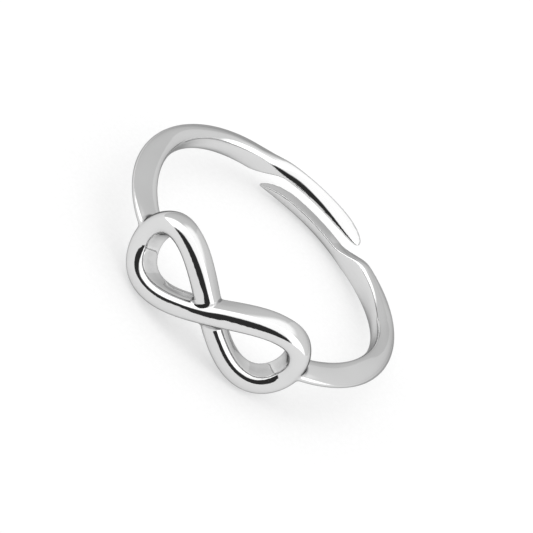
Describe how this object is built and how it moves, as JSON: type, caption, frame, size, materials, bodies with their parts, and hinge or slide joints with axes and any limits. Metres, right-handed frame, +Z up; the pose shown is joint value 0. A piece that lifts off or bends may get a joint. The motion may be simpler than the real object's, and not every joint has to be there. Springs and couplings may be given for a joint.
{
  "type": "open infinity finger ring",
  "caption": "Polished silver finger ring with an infinity sign at the front and an open, adjustable back whose tapered tips pass side by side",
  "frame": {"origin": "centre of the ring's box, on the surface that it lies on", "axes": "+Z up from that surface, nearly along the finger; +X along the infinity sign, to the viewer's right; +Y from the infinity sign to the open back"},
  "size_m": [0.02, 0.02, 0.0055],
  "materials": {
    "silver": "mirror polish"
  },
  "bodies": {
    "root": {"infinity_ring": "silver"}
  },
  "joints": []
}
